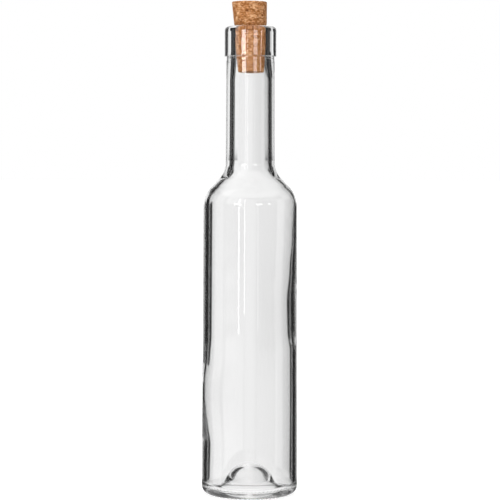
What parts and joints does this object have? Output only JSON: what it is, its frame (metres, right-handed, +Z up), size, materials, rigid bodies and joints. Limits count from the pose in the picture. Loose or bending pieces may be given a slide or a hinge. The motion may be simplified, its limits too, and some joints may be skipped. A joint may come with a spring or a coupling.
{
  "type": "corked glass bottle",
  "caption": "Slim upright bottle of clear glass with a straight neck, a thick round lip and a hollow foot, closed by a tapered cork and empty.",
  "frame": {"origin": "middle of the foot, on the surface that the bottle stands on", "axes": "+Z up the bottle's axis, from the foot to the cork; X and Y are alike, because the bottle is round"},
  "size_m": [0.0628, 0.0628, 0.322],
  "materials": {
    "clear_glass": "gloss",
    "pressed_cork": "matte"
  },
  "bodies": {
    "root": {"bottle": "clear_glass", "cork": "pressed_cork"}
  },
  "joints": []
}
